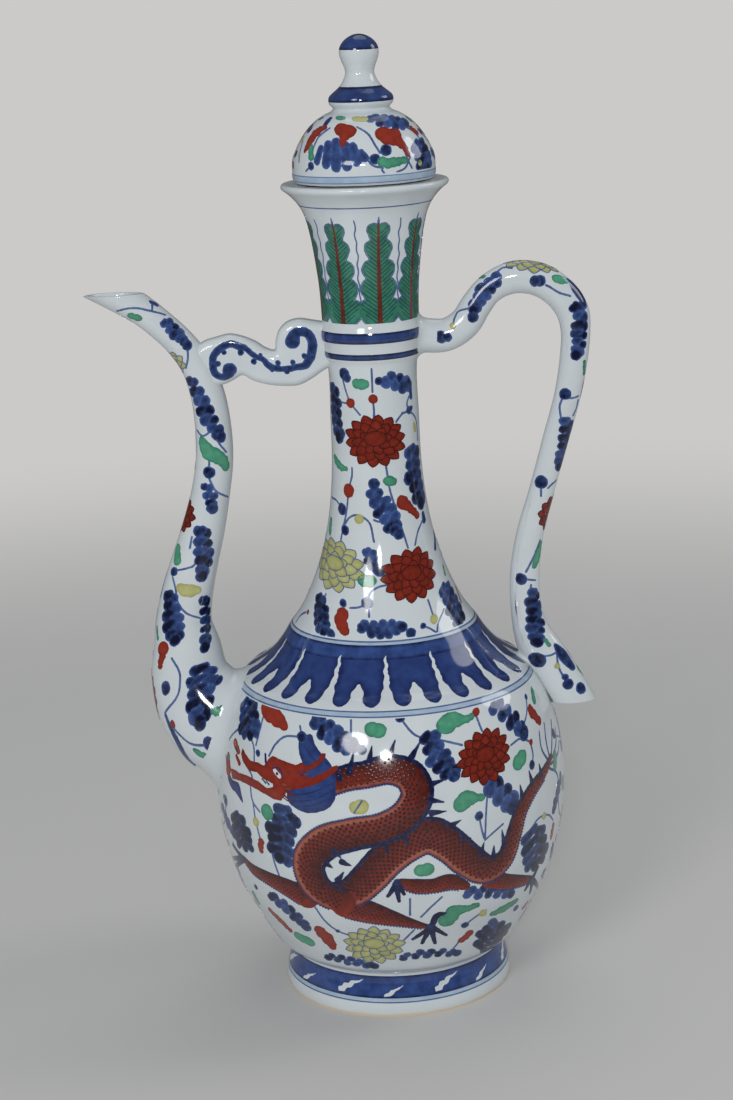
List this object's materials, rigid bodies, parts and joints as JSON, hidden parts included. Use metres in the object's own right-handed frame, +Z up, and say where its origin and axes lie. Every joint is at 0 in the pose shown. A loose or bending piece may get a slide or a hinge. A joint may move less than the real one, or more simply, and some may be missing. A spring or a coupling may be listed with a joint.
{
  "type": "ceramic ewer",
  "caption": "Tall glazed porcelain ewer with an S-shaped spout tied to its neck by a cloud-shaped bridge, a looped handle and a lift-off domed lid, for keeping and pouring wine.",
  "frame": {"origin": "middle of the ewer's length and width, on the table under the foot ring; the turned axis stands 12 mm to the handle's side of it", "axes": "+Z up along the turned axis, +X toward the handle, -X toward the spout, -Y the front seen in the picture"},
  "size_m": [0.1854, 0.133, 0.36],
  "materials": {
    "foot_ring": "gloss",
    "lower_body": "gloss",
    "upper_body": "gloss",
    "neck": "gloss",
    "neck_collar": "gloss",
    "mouth_cup": "gloss",
    "spout": "gloss",
    "spout_bridge": "gloss",
    "handle": "gloss",
    "lid_dome": "gloss",
    "lid_flange": "bare clay",
    "lid_knob_ring": "gloss, cobalt blue",
    "lid_finial": "gloss"
  },
  "bodies": {
    "ewer": {"foot_ring": "foot_ring", "lower_body": "lower_body", "upper_body": "upper_body", "neck": "neck", "neck_collar": "neck_collar", "mouth_cup": "mouth_cup", "spout": "spout", "spout_bridge": "spout_bridge", "handle": "handle"},
    "lid": {"lid_dome": "lid_dome", "lid_flange": "lid_flange", "lid_knob_ring": "lid_knob_ring", "lid_finial": "lid_finial"}
  },
  "joints": [
    {"name": "lid_lift", "type": "slide", "parent": "ewer", "child": "lid", "axis": [0, 0, 1], "range_m": [0, 0.04]}
  ]
}
